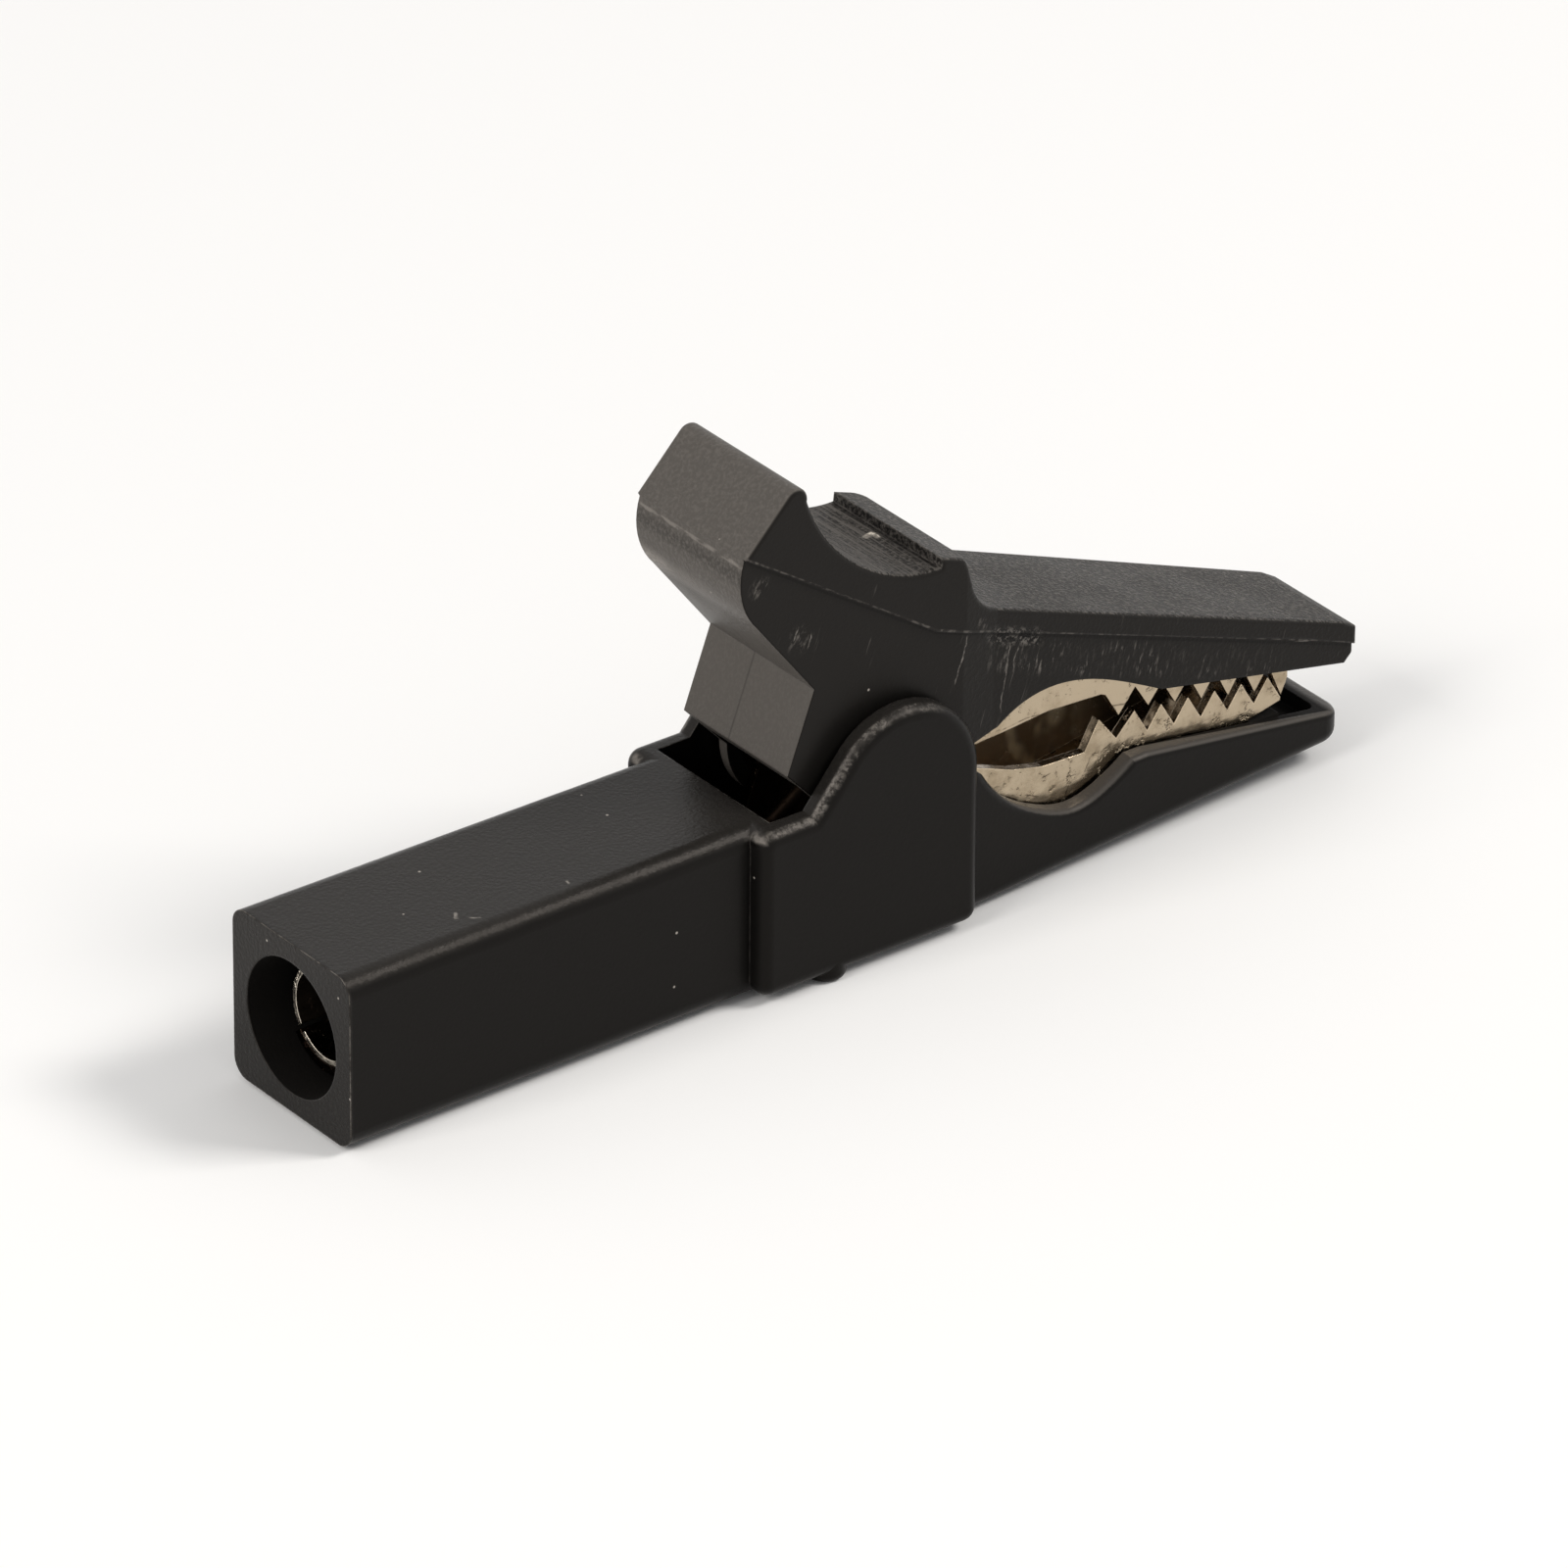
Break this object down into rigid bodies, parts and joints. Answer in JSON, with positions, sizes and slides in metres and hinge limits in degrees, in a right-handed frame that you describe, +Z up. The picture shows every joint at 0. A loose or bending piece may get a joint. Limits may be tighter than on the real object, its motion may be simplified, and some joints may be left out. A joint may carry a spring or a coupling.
{
  "type": "insulated crocodile clip",
  "caption": "Insulated crocodile clip with a square handle, a 4 mm plug socket, a thumb lever and toothed metal jaws held shut by a torsion spring.",
  "frame": {"origin": "on the axis of the 4 mm plug, in the end face of the handle", "axes": "+X along the handle to the tips of the jaws, +Z up through the thumb lever, Y across the clip, which is symmetric about Y = 0"},
  "size_m": [0.0557, 0.01, 0.0241],
  "materials": {
    "moulded_plastic": "black satin moulding with a fine spark-eroded grain",
    "plated_jaw": "nickel plated sheet steel, satin",
    "plated_socket": "nickel plated brass sheet",
    "rivet_steel": "nickel plated steel",
    "spring_steel": "bright drawn spring wire"
  },
  "bodies": {
    "base": {"housing": "moulded_plastic", "lower_jaw": "plated_jaw", "plug_socket": "plated_socket", "pivot_rivet": "rivet_steel", "torsion_spring": "spring_steel"},
    "lever": {"lever": "moulded_plastic", "upper_jaw": "plated_jaw"}
  },
  "joints": [
    {"name": "lever_hinge", "type": "hinge", "parent": "base", "child": "lever", "pos_m": [0.029, 0, 0.00377], "axis": [0, -1, 0], "range_deg": [0, 28], "stiffness_Nm_per_rad": 0.06, "springref_deg": -5.73, "deforming": ["torsion_spring"]}
  ]
}
